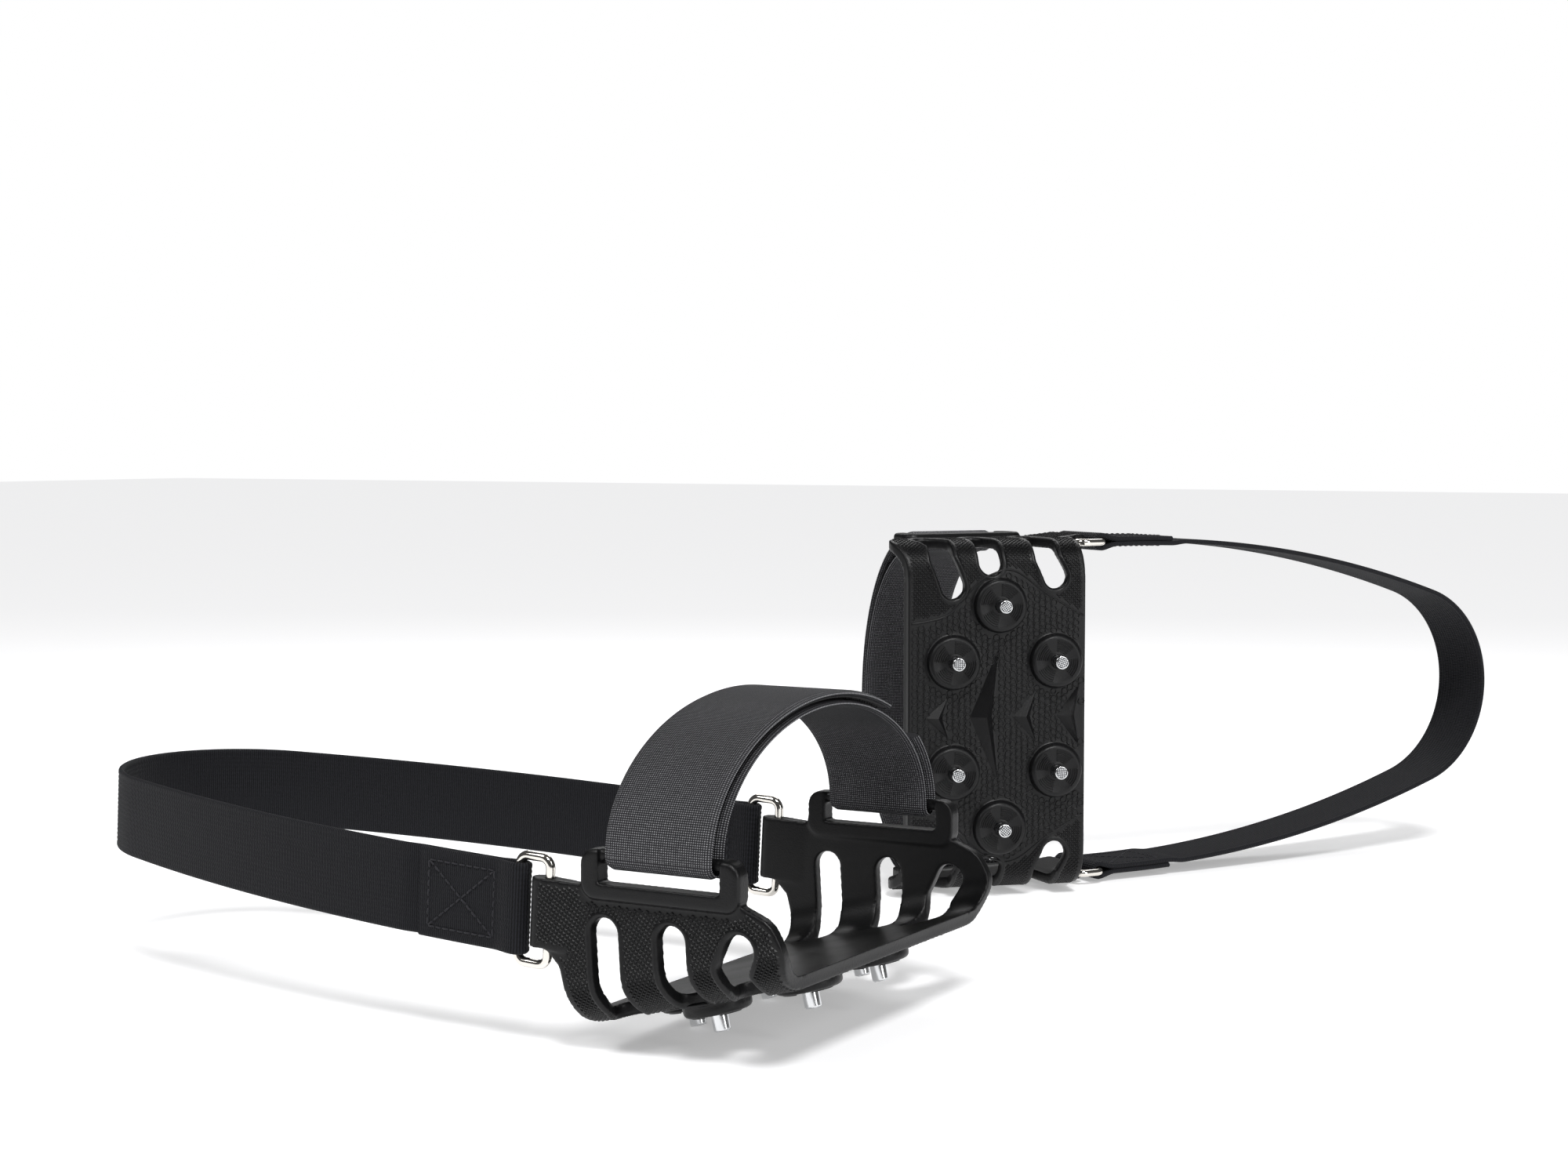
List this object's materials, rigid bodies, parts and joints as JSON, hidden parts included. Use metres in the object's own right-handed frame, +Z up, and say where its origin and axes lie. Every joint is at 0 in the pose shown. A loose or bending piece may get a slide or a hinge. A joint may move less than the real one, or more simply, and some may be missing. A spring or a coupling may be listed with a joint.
{
  "type": "shoe ice cleats",
  "caption": "Pair of slip-on rubber ice cleats with steel studs under the ball of the foot, an elastic heel strap on wire rings and a hook-and-loop instep strap.",
  "frame": {"origin": "on the ground, under the middle of the pair's bounding box", "axes": "+Y from the standing cleat's heel strap to its toes, +X to its outer side, +Z up"},
  "size_m": [0.4492, 0.304, 0.1188],
  "materials": {
    "rubber": "matt moulded",
    "stud_steel": "turned, knurled tip",
    "ring_steel": "polished nickel",
    "heel_elastic": "ribbed elastic webbing",
    "instep_webbing": "woven webbing",
    "hook_tape": "hook tape"
  },
  "bodies": {
    "right_plate": {"right_tread_plate": "rubber", "right_ice_stud_1": "stud_steel", "right_ice_stud_2": "stud_steel", "right_ice_stud_3": "stud_steel", "right_ice_stud_4": "stud_steel", "right_ice_stud_5": "stud_steel", "right_ice_stud_6": "stud_steel", "right_instep_strap": "instep_webbing"},
    "right_ring_outer": {"right_ring_outer_side": "ring_steel"},
    "right_ring_inner": {"right_ring_inner_side": "ring_steel"},
    "right_heel_strap": {"right_heel_strap_outer_run": "heel_elastic", "right_heel_strap_inner_run": "heel_elastic"},
    "right_heel_loop": {"right_heel_strap_back": "heel_elastic"},
    "right_instep_tab": {"right_instep_tab": "instep_webbing", "right_instep_hook_patch": "hook_tape"},
    "left_plate": {"left_tread_plate": "rubber", "left_ice_stud_1": "stud_steel", "left_ice_stud_2": "stud_steel", "left_ice_stud_3": "stud_steel", "left_ice_stud_4": "stud_steel", "left_ice_stud_5": "stud_steel", "left_ice_stud_6": "stud_steel", "left_instep_strap": "instep_webbing"},
    "left_ring_outer": {"left_ring_outer_side": "ring_steel"},
    "left_ring_inner": {"left_ring_inner_side": "ring_steel"},
    "left_heel_strap": {"left_heel_strap_outer_run": "heel_elastic", "left_heel_strap_inner_run": "heel_elastic"},
    "left_heel_loop": {"left_heel_strap_back": "heel_elastic"},
    "left_instep_tab": {"left_instep_tab": "instep_webbing", "left_instep_hook_patch": "hook_tape"}
  },
  "joints": [
    {"name": "right_ring_outer_swivel", "type": "hinge", "parent": "right_plate", "child": "right_ring_outer", "pos_m": [0.22109, 0.03397, 0.03388], "axis": [0, 0.0523, 0.9986], "range_deg": [-25, 25]},
    {"name": "right_ring_inner_swivel", "type": "hinge", "parent": "right_plate", "child": "right_ring_inner", "pos_m": [0.10929, 0.03397, 0.03388], "axis": [0, 0.0523, 0.9986], "range_deg": [-25, 25]},
    {"name": "right_heel_strap_sway", "type": "hinge", "parent": "right_ring_outer", "child": "right_heel_strap", "pos_m": [0.22109, 0.02478, 0.03436], "axis": [0, 0.0523, 0.9986], "range_deg": [-25, 25]},
    {"name": "right_heel_strap_stretch", "type": "slide", "parent": "right_heel_strap", "child": "right_heel_loop", "axis": [0, -0.9986, 0.0523], "range_m": [0, 0.035], "stiffness_N_per_m": 150},
    {"name": "right_instep_tab_peel", "type": "hinge", "parent": "right_plate", "child": "right_instep_tab", "pos_m": [0.22148, 0.06754, 0.06187], "axis": [0, 1, 0], "range_deg": [0, 100]},
    {"name": "left_ring_outer_swivel", "type": "hinge", "parent": "left_plate", "child": "left_ring_outer", "pos_m": [-0.05954, 0.04655, 0.1153], "axis": [0.515, 0.8572, 0], "range_deg": [-25, 25]},
    {"name": "left_ring_inner_swivel", "type": "hinge", "parent": "left_plate", "child": "left_ring_inner", "pos_m": [-0.05954, 0.04655, 0.0035], "axis": [0.515, 0.8572, 0], "range_deg": [-25, 25]},
    {"name": "left_heel_strap_sway", "type": "hinge", "parent": "left_ring_outer", "child": "left_heel_strap", "pos_m": [-0.06742, 0.05129, 0.1153], "axis": [0.515, 0.8572, 0], "range_deg": [-25, 25]},
    {"name": "left_heel_strap_stretch", "type": "slide", "parent": "left_heel_strap", "child": "left_heel_loop", "axis": [-0.8572, 0.515, 0], "range_m": [0, 0.035], "stiffness_N_per_m": 150},
    {"name": "left_instep_tab_peel", "type": "hinge", "parent": "left_plate", "child": "left_instep_tab", "pos_m": [-0.04736, 0.00457, 0.11569], "axis": [-0.829, 0.5592, 0], "range_deg": [0, 100]},
    {"name": "pair_apart", "type": "slide", "parent": "right_plate", "child": "left_plate", "axis": [-1, 0, 0], "range_m": [0, 0.15]}
  ],
  "couplings": [
    {"joint": "right_ring_inner_swivel", "follows": "right_ring_outer_swivel", "ratio": 1},
    {"joint": "right_heel_strap_sway", "follows": "right_ring_outer_swivel", "ratio": -1},
    {"joint": "left_ring_inner_swivel", "follows": "left_ring_outer_swivel", "ratio": 1},
    {"joint": "left_heel_strap_sway", "follows": "left_ring_outer_swivel", "ratio": -1}
  ]
}
